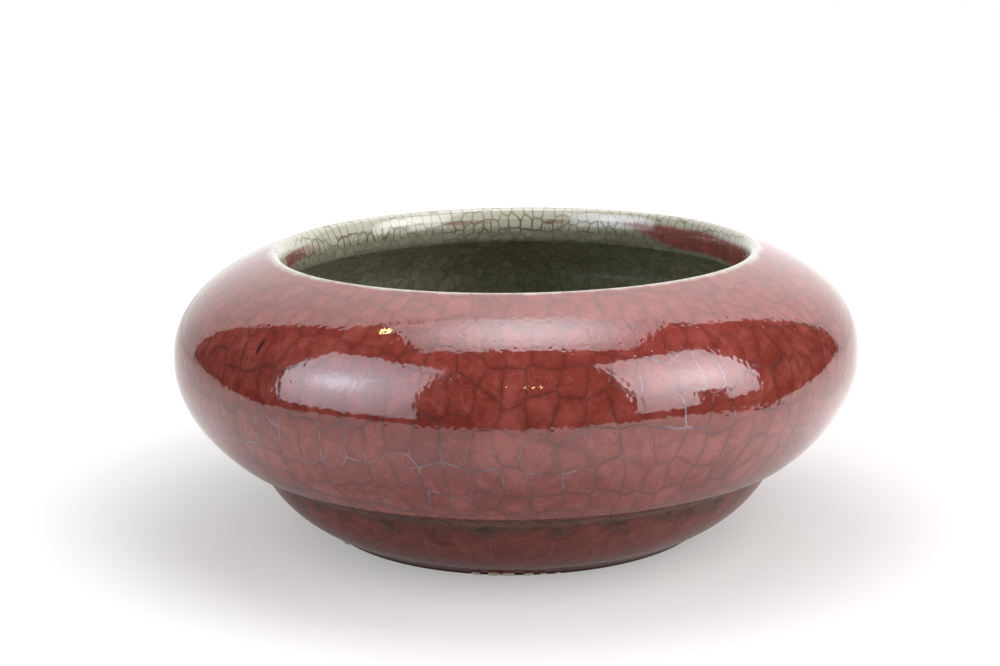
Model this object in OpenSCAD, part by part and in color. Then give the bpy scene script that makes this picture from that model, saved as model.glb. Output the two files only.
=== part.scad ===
// Brush washer: a squat, thick-walled stoneware bowl on a rounded foot ring,
// coated in crackled copper-red glaze outside and celadon glaze inside.
// Millimetres, +Z up, origin at the centre of the foot on the table.

/* [Bowl] */
// Widest outside diameter, over the glaze
body_d = 130; // [118:1:150]
// Height of the widest line above the table
belly_z = 33.6; // [32:0.2:38]
// Height of the shoulder's curve, from the widest line up to the axis
shoulder_h = 25; // [23:0.1:30]
// Fullness of the shoulder's curve, where 2 is a plain ellipse
shoulder_fullness = 2.35; // [2:0.05:2.6]
// Height of the belly's curve, from the widest line down to the axis
belly_h = 32.4; // [30:0.2:38]
// Fullness of the belly's curve, where 2 is a plain ellipse
belly_fullness = 2; // [2:0.05:2.3]

/* [Mouth] */
// Clear diameter of the mouth, over the glaze
mouth_d = 87.2; // [76:0.2:92]
// Radius of the rounded lip
lip_r = 2.2; // [1.6:0.1:3.2]
// Radius that eases the lower edge of the mouth
under_lip_r = 1.5; // [1:0.1:2.4]

/* [Walls] */
// Thickness of the bowl's wall, both glazes included
wall_t = 7.4; // [6:0.1:8.4]
// Thickness of the bowl's floor, upper glaze included
floor_t = 6.5; // [5:0.1:8]
// Radius of the hollow between the inner wall and the floor
floor_fillet_r = 8; // [4:0.5:10]
// Thickness of each coat of glaze
glaze_t = 0.6; // [0.4:0.05:0.9]
// Thickness of the red splashes let into the glaze of the mouth
splash_t = 0.3; // [0.2:0.05:0.35]

/* [Foot] */
// Height of the base inside the foot ring, where the bowl's tapered boss ends
foot_h = 11.4; // [9.4:0.2:13.4]
// Height of the groove between belly and foot
groove_h = 16.4; // [15:0.2:17.8]
// How far the foot's top stands back from the belly's edge, over the groove
groove_w = 4.1; // [2.5:0.1:6]
// Width of the foot ring's clay at its top, outside the boss
foot_top_w = 5; // [3:0.1:7]
// Outer diameter of the bare rim that stands on the table
rim_d = 73; // [66:0.2:78]
// Width of the bare rim
rim_w = 4.8; // [3.5:0.1:6.5]
// Height of bare clay between the table and the foot's glaze
rim_bare_h = 0.8; // [0.6:0.05:1.4]
// How far the foot's side swells out from a straight line between its top and its rim
foot_swell_w = 2.6; // [1.6:0.1:3.4]
// Radius of the hollow between the inside of the foot and the base
base_fillet_r = 3; // [2:0.1:5]
// How far the glaze pooled in the groove runs down the foot
pool_w = 3.6; // [2:0.1:5]

/* [Grit] */
// Patches of kiln grit stuck round the foot's rim
grit_patches = 5; // [1:1:6]
// Grains in each patch
grit_count = 6; // [1:1:8]
// Width of the widest grain, along the rim
grit_w = 2.4; // [1.2:0.1:3]
// Clear gap under each grain, and over the tallest one
grit_gap = 0.08; // [0.04:0.02:0.2]
// How far the largest grain stands out from the rim
grit_t = 1.1; // [0.5:0.1:1.5]

/* [Hidden] */
$fn = 180;
curve_steps = 20;
arc_steps = 8;
foot_steps = 14;
solve_steps = 40;

body_r = body_d / 2;
mouth_r = mouth_d / 2;
rim_r = rim_d / 2;
recess_r = rim_r - rim_w;
floor_z = foot_h + floor_t;

stoneware = "tan";
copper_red = "firebrick";
celadon = "darkseagreen";
cream = "ivory";
pooled_brown = "saddlebrown";

// Splashes of red glaze that ran over the lip, on the mouth's inner face:
// middle angle and span round the axis, in degrees, then top and bottom as shares of that face
splashes = [[25, 52, 0.95, 0.05], [164, 22, 0.95, 0.45], [102, 12, 0.95, 0.78], [76.5, 7, 0.95, 0.78]];

// Finds the angle where a falling function of it passes zero
function solve(falling, low, high, n = solve_steps) =
    let (middle = (low + high) / 2)
    n == 0 ? middle
    : falling(middle) > 0 ? solve(falling, middle, high, n - 1)
    : solve(falling, low, middle, n - 1);

function reversed(list) = [for (i = [len(list) - 1:-1:0]) list[i]];

function arc(centre, r, from, to, steps = arc_steps) =
    [for (i = [0:steps]) let (a = from + (to - from) * i / steps) centre + r * [cos(a), sin(a)]];

// Outward direction of a curve that is half_w wide, half_h tall and as full as fullness, at angle t
function curve_normal(half_w, half_h, fullness, t) =
    let (e = 2 - 2 / fullness,
         n = [pow(cos(t), e) / half_w, sign(t) * pow(abs(sin(t)), e) / half_h])
    n / norm(n);

// Point at angle t on that curve about centre, sunk by depth along its normal
function curve_point(centre, half_w, half_h, fullness, t, depth) =
    let (e = 2 / fullness)
    centre + [half_w * pow(cos(t), e), sign(t) * half_h * pow(abs(sin(t)), e)]
    - depth * curve_normal(half_w, half_h, fullness, t);

// The bowl's outside: the shoulder where t is positive and the belly where it is negative
function body_point(t, depth) =
    curve_point([0, belly_z], body_r, t > 0 ? shoulder_h : belly_h,
                t > 0 ? shoulder_fullness : belly_fullness, t, depth);
function body_normal_angle(t) =
    let (n = curve_normal(body_r, t > 0 ? shoulder_h : belly_h,
                          t > 0 ? shoulder_fullness : belly_fullness, t))
    atan2(n[1], n[0]);
function body_line(from, to, depth) =
    [for (i = [0:curve_steps]) body_point(from + (to - from) * i / curve_steps, depth)];

// Angles on the bowl's curves where a line sunk by depth reaches a radius or a height
function shoulder_angle_at_r(r, depth) = solve(function(t) body_point(t, depth)[0] - r, 1, 89);
function belly_angle_at_z(z, depth) = -solve(function(t) body_point(-t, depth)[1] - z, 1, 89);

// The belly ends at an edge over the groove, and the foot ring sits round a tapered boss under the bowl
belly_edge = [body_point(belly_angle_at_z(groove_h, 0), 0)[0], groove_h];
foot_top = belly_edge - [groove_w, 0];
boss_r = foot_top[0] - glaze_t - foot_top_w;

// The foot's side is an arc from the groove down to the bare rim
foot_end = [rim_r, rim_bare_h];
foot_chord = norm(foot_top - foot_end);
foot_side_r = (foot_chord * foot_chord / 4 + foot_swell_w * foot_swell_w) / (2 * foot_swell_w);
foot_outward = [foot_top[1] - foot_end[1], foot_end[0] - foot_top[0]] / foot_chord;
foot_centre = (foot_top + foot_end) / 2 - (foot_side_r - foot_swell_w) * foot_outward;
function foot_line(depth) =
    let (r = foot_side_r - depth)
    arc(foot_centre, r, asin((groove_h - foot_centre[1]) / r), -acos((rim_r - foot_centre[0]) / r),
        foot_steps);

// The lip rolls from the shoulder over to the mouth's upright inner face
lip_angle = shoulder_angle_at_r(mouth_r + lip_r, lip_r);
lip_centre = body_point(lip_angle, lip_r);

// The mouth's lower edge rolls from that face into the inside of the shoulder
under_lip_angle = shoulder_angle_at_r(mouth_r + under_lip_r, wall_t - under_lip_r);
under_lip_centre = body_point(under_lip_angle, wall_t - under_lip_r);
mouth_top_z = lip_centre[1];
mouth_bottom_z = under_lip_centre[1];
function mouth_z(share) = mouth_bottom_z + share * (mouth_top_z - mouth_bottom_z);

// The inner wall rounds into the flat floor
floor_fillet_angle = belly_angle_at_z(floor_z + floor_fillet_r, wall_t + floor_fillet_r);
floor_fillet_centre = body_point(floor_fillet_angle, wall_t + floor_fillet_r);

// Lines round the bowl's section, each sunk by depth into the clay from the glazed surface
function outside_line(depth) =
    concat(body_line(belly_angle_at_z(groove_h, depth), 0, depth), body_line(0, lip_angle, depth));
function outer_lip_line(depth) = arc(lip_centre, lip_r - depth, body_normal_angle(lip_angle), 90);
function lip_line(depth) = arc(lip_centre, lip_r - depth, 90, 180);
function inside_line(depth) =
    concat(arc(under_lip_centre, under_lip_r - depth, 180, 180 + body_normal_angle(under_lip_angle)),
           body_line(under_lip_angle, 0, wall_t - depth),
           body_line(0, floor_fillet_angle, wall_t - depth),
           arc(floor_fillet_centre, floor_fillet_r + depth, body_normal_angle(floor_fillet_angle), -90),
           [[0, floor_z - depth]]);

// A coat of glaze lies between a line on the surface and the same line on the clay
module coat(surface, clay) {
    rotate_extrude()
        polygon(concat(surface, reversed(clay)));
}

module clay_bowl() {
    color(stoneware)
        rotate_extrude()
            polygon(concat([[0, foot_h], [recess_r, foot_h], [boss_r, groove_h]], outside_line(glaze_t),
                           outer_lip_line(glaze_t), lip_line(glaze_t), inside_line(glaze_t)));
}

module clay_foot_ring() {
    color(stoneware)
        rotate_extrude()
            polygon(concat(foot_line(glaze_t), [[rim_r, 0], [recess_r, 0], [recess_r, foot_h],
                                                [boss_r, groove_h]]));
}

module red_body_glaze() {
    color(copper_red)
        coat(concat(outside_line(0), outer_lip_line(0)),
             concat(outside_line(glaze_t), outer_lip_line(glaze_t)));
}

module pale_lip_glaze() {
    color(cream)
        coat(lip_line(0), lip_line(glaze_t));
}

// The splashes, from radius from_r out to where they end in the glaze
module mouth_splashes(from_r) {
    for (s = splashes)
        rotate([0, 0, s[0] - s[1] / 2])
            rotate_extrude(angle = s[1])
                translate([from_r, mouth_z(s[3])])
                    square([mouth_r + splash_t - from_r, mouth_z(s[2]) - mouth_z(s[3])]);
}

module celadon_inner_glaze() {
    color(celadon)
        difference() {
            coat(concat([[mouth_r, mouth_top_z]], inside_line(0)),
                 concat([[mouth_r + glaze_t, mouth_top_z]], inside_line(glaze_t)));
            mouth_splashes(mouth_r - splash_t);
        }
}

module red_mouth_splashes() {
    color(copper_red)
        mouth_splashes(mouth_r);
}

module red_foot_glaze() {
    color(copper_red)
        coat(foot_line(0), foot_line(glaze_t));
}

// Glaze that pooled in the groove, with a hollow face from the belly's edge down to the foot
module dark_groove_glaze() {
    on_foot = [for (p = foot_line(0)) if (norm(p - foot_top) < pool_w) p];
    low = on_foot[len(on_foot) - 1];
    hollow = (belly_edge + low + foot_top) / 3;
    face = [for (i = [1:arc_steps - 1]) let (u = i / arc_steps)
            (1 - u) * (1 - u) * belly_edge + 2 * u * (1 - u) * hollow + u * u * low];
    color(pooled_brown)
        rotate_extrude()
            polygon(concat([foot_top, belly_edge], face,
                           reversed([for (i = [1:len(on_foot) - 1]) on_foot[i]])));
}

module celadon_base_glaze() {
    inner_r = recess_r - glaze_t;
    ceiling_z = foot_h - glaze_t;
    fillet_centre = [inner_r - base_fillet_r, ceiling_z - base_fillet_r];
    bare_z = 2 * rim_bare_h;
    color(celadon)
        rotate_extrude()
            polygon(concat([[recess_r, bare_z], [recess_r, foot_h], [0, foot_h], [0, ceiling_z]],
                           arc(fillet_centre, base_fillet_r, 90, 0), [[inner_r, bare_z]]));
}

// Each grain is a crumb on the bare rim, in its own stretch of a patch, of a size and place that vary
module kiln_grit() {
    golden_angle = 137.508;
    widest_span = grit_w / rim_r * 180 / PI;
    stretch = 1.25 * widest_span;
    color(cream)
        for (patch = [0:grit_patches - 1])
            for (i = [0:grit_count - 1]) {
                turn = (patch * grit_count + i) * golden_angle;
                size = 0.7 + 0.3 * sin(3 * turn);
                out = grit_t * size;
                tall = (rim_bare_h - 2 * grit_gap) * size;
                span = widest_span * size;
                from_middle = (i - grit_count / 2) * stretch + (stretch - span) * (0.5 + 0.4 * sin(turn));
                rotate([0, 0, 270 + patch * 360 / grit_patches + from_middle])
                    rotate_extrude(angle = span)
                        translate([rim_r, grit_gap])
                            polygon([[0, 0], [0.8 * out, 0], [out, 0.4 * tall],
                                     [0.6 * out, tall], [0, tall]]);
            }
}

clay_bowl();
clay_foot_ring();
red_body_glaze();
pale_lip_glaze();
celadon_inner_glaze();
red_mouth_splashes();
dark_groove_glaze();
red_foot_glaze();
celadon_base_glaze();
kiln_grit();
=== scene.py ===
"""Looks of the brush washer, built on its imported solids. Metres, +Z up, -Y towards the camera."""
import math

import bmesh
import bpy
import numpy as np
from mathutils import Matrix, Vector, noise


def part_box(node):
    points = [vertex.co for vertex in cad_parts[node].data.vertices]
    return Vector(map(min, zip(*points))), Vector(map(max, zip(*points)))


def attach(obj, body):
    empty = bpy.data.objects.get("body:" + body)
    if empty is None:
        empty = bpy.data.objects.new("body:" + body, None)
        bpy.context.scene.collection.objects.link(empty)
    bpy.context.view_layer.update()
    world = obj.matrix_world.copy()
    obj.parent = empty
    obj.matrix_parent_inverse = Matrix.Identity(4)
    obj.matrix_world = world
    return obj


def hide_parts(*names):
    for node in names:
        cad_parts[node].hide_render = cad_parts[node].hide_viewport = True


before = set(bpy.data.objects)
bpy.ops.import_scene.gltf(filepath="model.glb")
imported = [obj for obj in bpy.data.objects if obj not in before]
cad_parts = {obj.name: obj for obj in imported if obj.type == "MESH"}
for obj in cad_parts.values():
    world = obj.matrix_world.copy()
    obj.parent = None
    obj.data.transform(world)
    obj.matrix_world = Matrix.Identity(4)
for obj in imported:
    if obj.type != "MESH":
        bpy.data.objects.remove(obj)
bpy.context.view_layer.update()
MM = 0.001

# Camera of the photograph
IMAGE_WIDTH = 1000
FOCAL_PIXELS = 1876.8
CAMERA_PLACE = Vector((0.0, -352.05, 115.56)) * MM
CAMERA_AIM = Vector((-2.96, 0.0, 35.85)) * MM
CAMERA_ROLL = math.radians(-0.78)

# Mesh of the coats of glaze; a straight of a section over SPLIT_STEPS steps long is split before it is curved
SEGMENTS = 360
COAT_STEP = 0.55 * MM
SPLIT_STEPS = 2.5
# Radius up to which a point counts as on the axis, and the least square of a length to divide by
AXIS_SLACK = 0.01 * MM
LEAST_SQUARE = 1e-18
# Edges over these angles, in degrees, are shaded sharp
COAT_SHARP_FROM = 45
GRIT_SHARP_FROM = 35
# Angles of the half-planes that cut the nodes: just off the seam of their meshes, and clear of the splashes
SEAM_TURN = -0.0007
CLEAR_TURN = math.radians(-60)


def section(node, turn=SEAM_TURN):
    """Points (radius, height) in order along the line where a half-plane through the axis cuts a node."""
    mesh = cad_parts[node].data
    mesh.calc_loop_triangles()
    points = np.array([v.co[:] for v in mesh.vertices])
    places, merged = np.unique(np.round(points, 7), axis=0, return_inverse=True)
    merged = merged.reshape(-1)
    outward = places[:, 0] * math.cos(turn) + places[:, 1] * math.sin(turn)
    across = places[:, 1] * math.cos(turn) - places[:, 0] * math.sin(turn)
    crossing = {}
    links = {}
    for triangle in mesh.loop_triangles:
        corners = [int(merged[i]) for i in triangle.vertices]
        cut = []
        for a, b in zip(corners, corners[1:] + corners[:1]):
            if (across[a] < 0) != (across[b] < 0):
                low, high = min(a, b), max(a, b)
                share = across[low] / (across[low] - across[high])
                radius = outward[low] + share * (outward[high] - outward[low])
                height = places[low, 2] + share * (places[high, 2] - places[low, 2])
                crossing[low, high] = (radius, height)
                cut.append((low, high))
        if len(cut) != 2 or max(crossing[cut[0]][0], crossing[cut[1]][0]) < 0:
            continue
        for one, other in (cut, cut[::-1]):
            links.setdefault(one, []).append(other)
    ends = [key for key in links if len(links[key]) == 1]
    here = min(ends or links, key=lambda key: crossing[key][0])
    seen = {here}
    line = [crossing[here]]
    while True:
        onward = [key for key in links[here] if key not in seen]
        if not onward:
            break
        here = onward[0]
        seen.add(here)
        line.append(crossing[here])
    line = np.array(line)
    line[:, 0] = np.maximum(line[:, 0], 0.0)
    return without_straight_points(line)


def without_straight_points(line, slack=0.001 * MM):
    """The line without the points that lie on the straight between their neighbours."""
    kept = [line[0]]
    for point, after in zip(line[1:-1], line[2:]):
        run = after - kept[-1]
        length = math.hypot(*run)
        off = abs(run[0] * (point[1] - kept[-1][1]) - run[1] * (point[0] - kept[-1][0]))
        if length > 0 and off / length > slack:
            kept.append(point)
    kept.append(line[-1])
    return np.array(kept)


def distance_to(line, points):
    """Distance of each point from a line of points."""
    start, run = line[:-1], np.diff(line, axis=0)
    length = np.maximum((run ** 2).sum(axis=1), LEAST_SQUARE)
    share = np.clip(((points[:, None] - start) * run).sum(axis=2) / length, 0.0, 1.0)
    nearest = start + share[..., None] * run
    return np.sqrt(((points[:, None] - nearest) ** 2).sum(axis=2)).min(axis=1)


def clear_of_axis(line):
    """Whether a section's line stays clear of the axis, so that it closes on itself."""
    return line[:, 0].min() > AXIS_SLACK


def coat_lines(node, backings, turn, slack):
    """The seen line of a coat's section and the line of its back, which is within slack of the backing nodes;
    also whether the two close on each other."""
    line = section(node, turn)
    closed = clear_of_axis(line)
    distances = []
    for backing in backings:
        behind = section(backing, turn)
        if clear_of_axis(behind):
            behind = np.vstack([behind, behind[:1]])
        distances.append(distance_to(behind, line))
    far = np.min(distances, axis=0) > slack
    if closed:
        first = next(i for i in range(len(line)) if far[i] and not far[i - 1])
        line, far = np.roll(line, -first, axis=0), np.roll(far, -first)
    if not far[0]:
        line, far = line[::-1], far[::-1]
    count = int(np.argmin(far)) if not far.all() else len(line)
    return line[:count], line[count:], closed


def smooth_line(line, step):
    """Points about step apart on a smooth curve through the line's points."""
    fine = [line[0]]
    for start, end in zip(line[:-1], line[1:]):
        parts = max(1, int(math.ceil(math.hypot(*(end - start)) / (SPLIT_STEPS * step))))
        fine += [start + (end - start) * (k + 1) / parts for k in range(parts)]
    fine = np.array(fine)
    run = run_length(fine)
    slope = np.gradient(fine, run, axis=0)
    at = np.linspace(0.0, run[-1], max(2, int(round(run[-1] / step)) + 1))
    i = np.clip(np.searchsorted(run, at, side="right") - 1, 0, len(run) - 2)
    width = run[i + 1] - run[i]
    t = ((at - run[i]) / width)[:, None]
    width = width[:, None]
    return ((2 * t ** 3 - 3 * t ** 2 + 1) * fine[i] + (t ** 3 - 2 * t ** 2 + t) * width * slope[i]
            + (3 * t ** 2 - 2 * t ** 3) * fine[i + 1] + (t ** 3 - t ** 2) * width * slope[i + 1])


def run_length(line):
    """Length along the line at each of its points."""
    return np.concatenate([[0.0], np.cumsum(np.hypot(*np.diff(line, axis=0).T))])


def rolled_r(height):
    """Radius of the mouth's inner face, which rolls over to the top of the lip, where the glaze ran thin."""
    share = np.clip((height - ROLL_LOW) / (LIP_TOP - ROLL_LOW), 0.0, 1.0)
    return LIP_TOP_R - (LIP_TOP_R - MOUTH_R) * (1.0 - share ** ROLL_FULLNESS) ** (1.0 / ROLL_FULLNESS)


def rolled_lip(line):
    """The line with its part on the mouth's inner face and the lip brought to that roll."""
    rolled = line.copy()
    within = (line[:, 0] <= LIP_TOP_R) & (line[:, 1] > ROLL_LOW)
    rolled[within, 0] = rolled_r(line[within, 1])
    return rolled


# Waves of a thrown wall round its circle: share of the radius, count, twist per metre of height, phase
WANDER = [(0.0011, 2, 0.0, 0.7), (0.0006, 3, 45.0, 2.1), (0.00025, 7, -90.0, 0.4)]


def out_of_round(angle, height):
    """How far a thrown wall wanders from a true circle, as a factor on its radius."""
    factor = 1.0
    for share, count, twist, phase in WANDER:
        factor = factor + share * np.sin(count * angle + twist * height + phase)
    return factor


def lathe(name, line, along, closed, segments=SEGMENTS):
    """A mesh turned about +Z from a line of (radius, height), with the run along the line as an attribute."""
    angle = np.arange(segments) * 2 * math.pi / segments
    points = []
    rows = []
    runs = []
    for (radius, height), reach in zip(line, along):
        row = len(points)
        if radius < AXIS_SLACK:
            points.append((0.0, 0.0, height))
            rows.append([row] * segments)
            runs.append(reach)
        else:
            reached = radius * out_of_round(angle, height)
            points += list(zip(reached * np.sin(angle), -reached * np.cos(angle), [height] * segments))
            rows.append(list(range(row, row + segments)))
            runs += [reach] * segments
    faces = []
    pairs = list(zip(rows[:-1], rows[1:])) + ([(rows[-1], rows[0])] if closed else [])
    for lower, upper in pairs:
        for k in range(segments):
            n = (k + 1) % segments
            corners = [lower[k], lower[n], upper[n], upper[k]]
            faces.append(list(dict.fromkeys(corners)))
    return finished_mesh(name, points, faces, runs)


def finished_mesh(name, points, faces, runs):
    """An object from points and faces, with outward normals and smooth shading up to its sharp edges."""
    mesh = bpy.data.meshes.new(name)
    mesh.from_pydata(points, [], faces)
    mesh.attributes.new("along", "FLOAT", "POINT").data.foreach_set("value", runs)
    shape = bmesh.new()
    shape.from_mesh(mesh)
    bmesh.ops.recalc_face_normals(shape, faces=shape.faces)
    shape.to_mesh(mesh)
    shape.free()
    return placed(mesh, COAT_SHARP_FROM)


def placed(mesh, sharp_from):
    """An object in the scene from a mesh, smooth but for edges over sharp_from degrees."""
    mesh.shade_smooth()
    mesh.set_sharp_from_angle(angle=math.radians(sharp_from))
    piece = bpy.data.objects.new(mesh.name, mesh)
    bpy.context.scene.collection.objects.link(piece)
    return piece


def coat(name, node, *backings, start=0.0, downward=False, turn=SEAM_TURN, slack=0.1 * MM, skirt=()):
    """A coat of glaze with a finely curved face, which replaces a node; also its run along that face.
    The points of a skirt carry the face on past the node's edge."""
    face, back, closed = coat_lines(node, backings, turn, slack)
    if (face[0][1] < face[-1][1]) == downward:
        face, back = face[::-1], back[::-1]
    if skirt:
        face = np.vstack([face, skirt])
    fine = smooth_line(face, COAT_STEP)
    if name in ROLLED_COATS:
        fine = rolled_lip(fine)
    run = start + run_length(fine)
    line = np.vstack([fine, back])
    along = np.concatenate([run, np.linspace(run[-1], run[0], len(back))])
    piece = lathe(name, line, along, closed)
    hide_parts(node)
    return piece, run


# Sockets of a mixing node that take and give colours
MIX_A, MIX_B, MIX_OUT = 6, 7, 2


class Look:
    """A material whose nodes are written as plain calls."""

    def __init__(self, name):
        self.material = bpy.data.materials.new(name)
        self.material.use_nodes = True
        self.nodes = self.material.node_tree.nodes
        self.nodes.clear()
        self.place = self.add("ShaderNodeTexCoord").outputs["Object"]
        self.x, self.y, self.z = self.parts(self.place)
        self.along = self.add("ShaderNodeAttribute", attribute_name="along").outputs["Fac"]
        self.around = self.math("ARCTAN2", self.x, self.times(self.y, -1.0))

    def add(self, kind, sockets=None, **settings):
        node = self.nodes.new(kind)
        for key, value in settings.items():
            setattr(node, key, value)
        for key, value in (sockets or {}).items():
            if isinstance(value, bpy.types.NodeSocket):
                self.material.node_tree.links.new(value, node.inputs[key])
            elif isinstance(value, tuple) and len(value) == 3 and node.inputs[key].type == "RGBA":
                node.inputs[key].default_value = (*value, 1.0)
            else:
                node.inputs[key].default_value = value
        return node

    def parts(self, vector):
        node = self.add("ShaderNodeSeparateXYZ", {0: vector})
        return node.outputs[0], node.outputs[1], node.outputs[2]

    def point(self, x, y, z=0.0):
        return self.add("ShaderNodeCombineXYZ", {0: x, 1: y, 2: z}).outputs[0]

    def vector(self, operation, a, b):
        return self.add("ShaderNodeVectorMath", {0: a, 1: b}, operation=operation).outputs[0]

    def math(self, operation, a, b=0.0, c=0.0):
        return self.add("ShaderNodeMath", {0: a, 1: b, 2: c}, operation=operation).outputs[0]

    def plus(self, a, b):
        return self.math("ADD", a, b)

    def minus(self, a, b):
        return self.math("SUBTRACT", a, b)

    def times(self, a, b):
        return self.math("MULTIPLY", a, b)

    def most(self, a, b):
        return self.math("MAXIMUM", a, b)

    def least(self, a, b):
        return self.math("MINIMUM", a, b)

    def step(self, value, start, end, low=0.0, high=1.0):
        """A smooth change from low to high as value goes from start to end."""
        sockets = {0: value, 1: start, 2: end, 3: low, 4: high}
        return self.add("ShaderNodeMapRange", sockets, interpolation_type="SMOOTHSTEP").outputs[0]

    def mix(self, share, a, b, blend="MIX"):
        sockets = {0: share, MIX_A: a, MIX_B: b}
        return self.add("ShaderNodeMix", sockets, data_type="RGBA", blend_type=blend).outputs[MIX_OUT]

    def noise(self, scale, detail=2.0, roughness=0.5, at=None, offset=0.0, colour=False):
        at = self.place if at is None else at
        if offset:
            at = self.vector("ADD", at, (offset, 0.0, 0.0))
        node = self.add("ShaderNodeTexNoise", {"Vector": at, "Scale": scale, "Detail": detail,
                                               "Roughness": roughness})
        return node.outputs["Color" if colour else "Fac"]

    def swing(self, value, reach):
        """A noise value as a length from -reach to reach."""
        return self.times(self.minus(value, 0.5), 2.0 * reach)

    def cells(self, at, scale, feature, dimensions="3D", randomness=1.0):
        """Outputs of a pattern of cells, such as the distance to their edges or a random colour for each."""
        sockets = {"Vector": at, "Scale": scale, "Randomness": randomness}
        node = self.add("ShaderNodeTexVoronoi", sockets, feature=feature, voronoi_dimensions=dimensions)
        return node.outputs

    def line(self, distance, half_width, soft):
        """1 up to half_width from a line, and 0 further off by soft or more."""
        return self.step(distance, half_width, self.plus(half_width, soft), 1.0, 0.0)

    def bump(self, height, depth, normal=None):
        sockets = {"Height": height, "Distance": depth, "Strength": 1.0}
        if normal is not None:
            sockets["Normal"] = normal
        return self.add("ShaderNodeBump", sockets).outputs[0]

    def finish(self, shader):
        output = self.add("ShaderNodeOutputMaterial")
        self.material.node_tree.links.new(shader.outputs[0], output.inputs[0])
        return self.material

    def surface(self, colour, roughness, normal, **constants):
        """The finished material; constants are values that are the same all over it."""
        sockets = {"Base Color": colour, "Roughness": roughness, "Normal": normal}
        shader = self.add("ShaderNodeBsdfPrincipled", sockets)
        for key, value in constants.items():
            shader.inputs[key].default_value = value
        return self.finish(shader)


# Cells of the crackle: their disorder, from 0 for a square grid to 1; how many of the finest go across a main
# one, on a wall and in a net; and how far the finest ones' pattern shifts between main cells, in cells
CELL_DISORDER = 0.52
WALL_FINEST, NET_FINEST = 1.6, 1.7
WALL_SHIFT, NET_SHIFT = (31.0, 17.0), 19


def wall_cracks(look, column, row, girth_r, seed, around, start=0.0, tighter=0.0):
    """Cracks that part a wall into upright cells: distances in metres from the main ones and from the finest
    ones inside their cells, then three random shares for each cell. One upright crack joins the cells where
    the angle around ends. From the run called start on, the rows get lower where tighter is over 0."""
    bend = look.parts(look.noise(0.17 / column, 1.0, 0.5, offset=seed, colour=True))
    kink = look.parts(look.noise(1.1 / column, 1.0, 0.4, offset=seed + 1.0, colour=True))
    aside = look.plus(look.swing(bend[0], 1.0 * column), look.swing(kink[0], 0.10 * column))
    upward = look.plus(look.swing(bend[1], 1.2 * row), look.swing(kink[1], 0.10 * row))
    angle = look.plus(around, look.times(aside, 1.0 / girth_r))
    angle = look.math("WRAP", angle, math.pi, -math.pi)
    u = look.times(angle, girth_r / column)
    reach = look.plus(look.minus(look.along, start), upward)
    v = look.times(look.plus(reach, look.times(look.times(reach, reach), tighter)), 1.0 / row)
    at = look.point(u, v)
    joint = look.times(look.minus(math.pi, look.math("ABSOLUTE", angle)), girth_r / column)
    main = look.least(look.cells(at, 1.0, "DISTANCE_TO_EDGE", "2D", CELL_DISORDER)["Distance"], joint)
    tone = look.parts(look.cells(at, 1.0, "F1", "2D", CELL_DISORDER)["Color"])
    within = look.point(look.plus(u, look.times(tone[0], WALL_SHIFT[0])),
                        look.plus(v, look.times(tone[1], WALL_SHIFT[1])))
    finest = look.cells(within, WALL_FINEST, "DISTANCE_TO_EDGE", "2D")["Distance"]
    return look.times(main, column), look.times(finest, column / WALL_FINEST), tone


def net_cracks(look, cell, seed):
    """Cracks that part a coat into small many-sided cells: distances in metres from the main ones and from
    those inside their cells, then three random shares for each main cell."""
    sway = look.noise(1.0 / cell, 2.0, 0.5, offset=seed, colour=True)
    sway = look.vector("SUBTRACT", sway, (0.5, 0.5, 0.5))
    at = look.vector("ADD", look.place, look.vector("MULTIPLY", sway, (0.5 * cell,) * 3))
    main = look.cells(at, 1.0 / cell, "DISTANCE_TO_EDGE")["Distance"]
    shade = look.cells(at, 1.0 / cell, "F1")["Color"]
    shift = look.vector("MULTIPLY", shade, (NET_SHIFT * cell,) * 3)
    inner = look.cells(look.vector("ADD", at, shift), NET_FINEST / cell, "DISTANCE_TO_EDGE")["Distance"]
    return look.times(main, cell), look.times(inner, cell / NET_FINEST), look.parts(shade)


def zone(look, angle, half_angle, height, half_height):
    """1 inside an oval on the wall and 0 outside it, with a soft edge; the angle is from the front."""
    a = look.times(look.minus(look.around, math.radians(angle)), 1.0 / math.radians(half_angle))
    b = look.times(look.minus(look.z, height), 1.0 / half_height)
    return look.step(look.plus(look.times(a, a), look.times(b, b)), 0.45, 1.2, 1.0, 0.0)


# Painted highlight: zones where the lamps reflect, in which cracks of the red glaze are painted pale lilac:
# angle from the front, half angle, height, half height, share
LIT_CRACK_ZONES = [(28, 12, 39.0 * MM, 7.0 * MM, 0.8), (-33, 30, 25 * MM, 10 * MM, 0.45),
               (5, 12, 29 * MM, 6 * MM, 0.4), (-26, 13, 41 * MM, 5 * MM, 0.35)]
# A black fleck in the red glaze, in the same order and without a share
FLECK = (-44.6, 0.5, 43.9 * MM, 1.35 * MM)

# Colours of the red glaze, from its broad ones to its marks, and of the cream where it runs thin
RED_DEEP = (0.210, 0.031, 0.022)
RED_FULL = (0.276, 0.048, 0.036)
RED_PATCH = (0.342, 0.078, 0.062)
RED_SHOULDER = (0.42, 0.062, 0.048)
RED_BLOTCH_PALE = (0.40, 0.094, 0.078)
RED_BLOTCH_DARK = (0.145, 0.020, 0.015)
RED_MOTTLE_PALE = (0.365, 0.104, 0.088)
RED_MOTTLE_DARK = (0.130, 0.020, 0.015)
RED_DARK_CELL = (0.145, 0.022, 0.016)
RED_GRAIN = (0.38, 0.12, 0.10)
RED_HALO = (0.125, 0.024, 0.018)
RED_CRACK = (0.068, 0.024, 0.018)
# Painted highlight: the pale lilac of cracks where the lamps reflect
LIT_CRACK_LILAC = (0.54, 0.45, 0.57)
FLECK_BLACK = (0.022, 0.012, 0.010)
PINHOLE_BLACK = (0.03, 0.012, 0.01)
CREAM = (0.70, 0.65, 0.56)
CREAM_CRACK = (0.30, 0.21, 0.15)


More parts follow.
